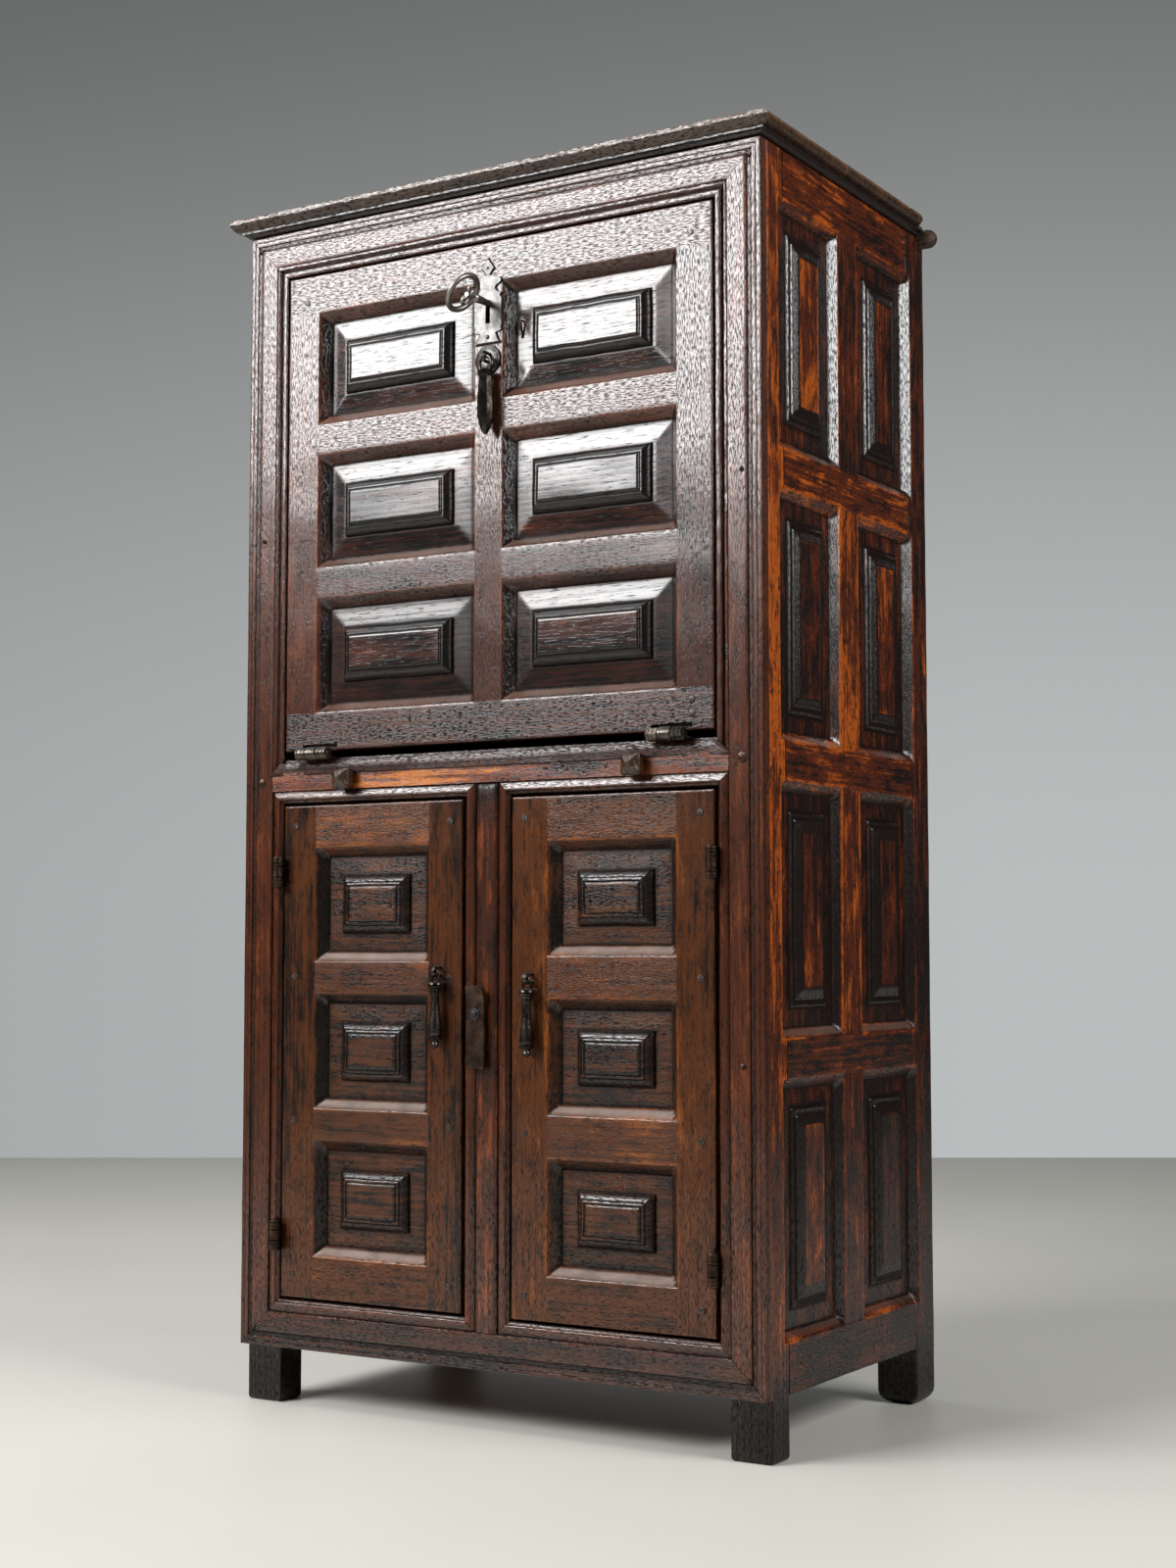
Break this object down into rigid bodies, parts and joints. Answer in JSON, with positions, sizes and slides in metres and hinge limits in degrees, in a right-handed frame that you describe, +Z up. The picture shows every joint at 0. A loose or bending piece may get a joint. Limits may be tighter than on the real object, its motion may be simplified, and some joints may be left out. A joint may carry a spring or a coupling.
{
  "type": "fall-front cabinet",
  "caption": "Tall dark oak cabinet with a raised-panel fall front over panelled doors, panelled sides, drawn lopers and wrought-iron lock, key, hinges and drop handles.",
  "frame": {"origin": "on the floor under the middle of the whole object's bounding box", "axes": "+Z up, the front with the fall and doors faces -Y, +X to the viewer's right"},
  "size_m": [0.866, 0.594, 1.6656],
  "materials": {
    "glossy_oak": "waxed and polished, grey sheen",
    "dark_oak": "waxed, near black brown",
    "warm_oak": "waxed, worn orange brown",
    "raw_oak": "planed and unfinished",
    "iron": "wrought, blackened, satin",
    "rusty_iron": "wrought, brown with rust"
  },
  "bodies": {
    "case": {"front_left_post": "warm_oak", "front_right_post": "warm_oak", "back_left_post": "warm_oak", "back_right_post": "warm_oak", "left_side": "warm_oak", "right_side": "warm_oak", "top_rail": "glossy_oak", "bottom_rail": "dark_oak", "left_stile": "dark_oak", "right_stile": "dark_oak", "middle_rail": "warm_oak", "mullion": "warm_oak", "fall_moulding": "glossy_oak", "left_door_moulding": "dark_oak", "right_door_moulding": "dark_oak", "top_board": "dark_oak", "cornice_moulding": "dark_oak", "back_panel": "raw_oak", "bottom_board": "raw_oak", "partition_board": "raw_oak", "loper_guide": "raw_oak", "left_fall_hinge_case_leaf": "iron", "right_fall_hinge_case_leaf": "iron", "left_upper_hinge_case_leaf": "iron", "left_lower_hinge_case_leaf": "iron", "right_upper_hinge_case_leaf": "iron", "right_lower_hinge_case_leaf": "iron", "turn_button_nail": "rusty_iron"},
    "fall": {"fall_frame": "glossy_oak", "fall_panel_1": "glossy_oak", "fall_panel_2": "glossy_oak", "fall_panel_3": "glossy_oak", "fall_panel_4": "glossy_oak", "fall_panel_5": "glossy_oak", "fall_panel_6": "glossy_oak", "left_fall_hinge_fall_leaf": "iron", "right_fall_hinge_fall_leaf": "iron", "escutcheon": "iron", "lock_case": "iron", "fall_handle_plate": "iron"},
    "left_door": {"left_door_frame": "dark_oak", "left_door_panel_1": "dark_oak", "left_door_panel_2": "dark_oak", "left_door_panel_3": "dark_oak", "left_upper_hinge_door_leaf": "iron", "left_lower_hinge_door_leaf": "iron"},
    "right_door": {"right_door_frame": "dark_oak", "right_door_panel_1": "dark_oak", "right_door_panel_2": "dark_oak", "right_door_panel_3": "dark_oak", "right_upper_hinge_door_leaf": "iron", "right_lower_hinge_door_leaf": "iron"},
    "left_loper": {"left_loper": "warm_oak"},
    "right_loper": {"right_loper": "warm_oak"},
    "turn_button": {"turn_button": "rusty_iron"},
    "key": {"key": "iron"},
    "lock_bolt": {"lock_bolt": "iron"},
    "fall_handle": {"fall_handle": "iron"},
    "left_door_handle": {"left_door_handle": "iron"},
    "right_door_handle": {"right_door_handle": "iron"}
  },
  "joints": [
    {"name": "fall_hinge", "type": "hinge", "parent": "case", "child": "fall", "pos_m": [0, -0.2275, 0.89275], "axis": [1, 0, 0], "range_deg": [0, 97]},
    {"name": "left_door_hinge", "type": "hinge", "parent": "case", "child": "left_door", "pos_m": [-0.34225, -0.2245, 0.144], "axis": [0, 0, -1], "range_deg": [0, 110]},
    {"name": "right_door_hinge", "type": "hinge", "parent": "case", "child": "right_door", "pos_m": [0.34225, -0.2245, 0.144], "axis": [0, 0, 1], "range_deg": [0, 110]},
    {"name": "left_loper_slide", "type": "slide", "parent": "case", "child": "left_loper", "axis": [0, -1, 0], "range_m": [0, 0.25]},
    {"name": "right_loper_slide", "type": "slide", "parent": "case", "child": "right_loper", "axis": [0, -1, 0], "range_m": [0, 0.25]},
    {"name": "turn_button_pivot", "type": "hinge", "parent": "case", "child": "turn_button", "pos_m": [-0.0103, -0.22, 0.539], "axis": [0, -1, 0], "range_deg": [-15, 73]},
    {"name": "key_turn", "type": "hinge", "parent": "fall", "child": "key", "pos_m": [0, -0.213, 1.4875], "axis": [0, 1, 0], "range_deg": [0, 150]},
    {"name": "lock_bolt_slide", "type": "slide", "parent": "fall", "child": "lock_bolt", "axis": [0, 0, 1], "range_m": [0, 0.014]},
    {"name": "fall_handle_swing", "type": "hinge", "parent": "fall", "child": "fall_handle", "pos_m": [0, -0.2273, 1.4115], "axis": [-1, 0, 0], "range_deg": [0, 100]},
    {"name": "left_door_handle_swing", "type": "hinge", "parent": "left_door", "child": "left_door_handle", "pos_m": [-0.0735, -0.225, 0.594], "axis": [-1, 0, 0], "range_deg": [0, 100]},
    {"name": "right_door_handle_swing", "type": "hinge", "parent": "right_door", "child": "right_door_handle", "pos_m": [0.0712, -0.225, 0.5855], "axis": [-1, 0, 0], "range_deg": [0, 100]}
  ],
  "couplings": [
    {"joint": "lock_bolt_slide", "follows": "key_turn", "m_per_rad": 0.0053476}
  ]
}
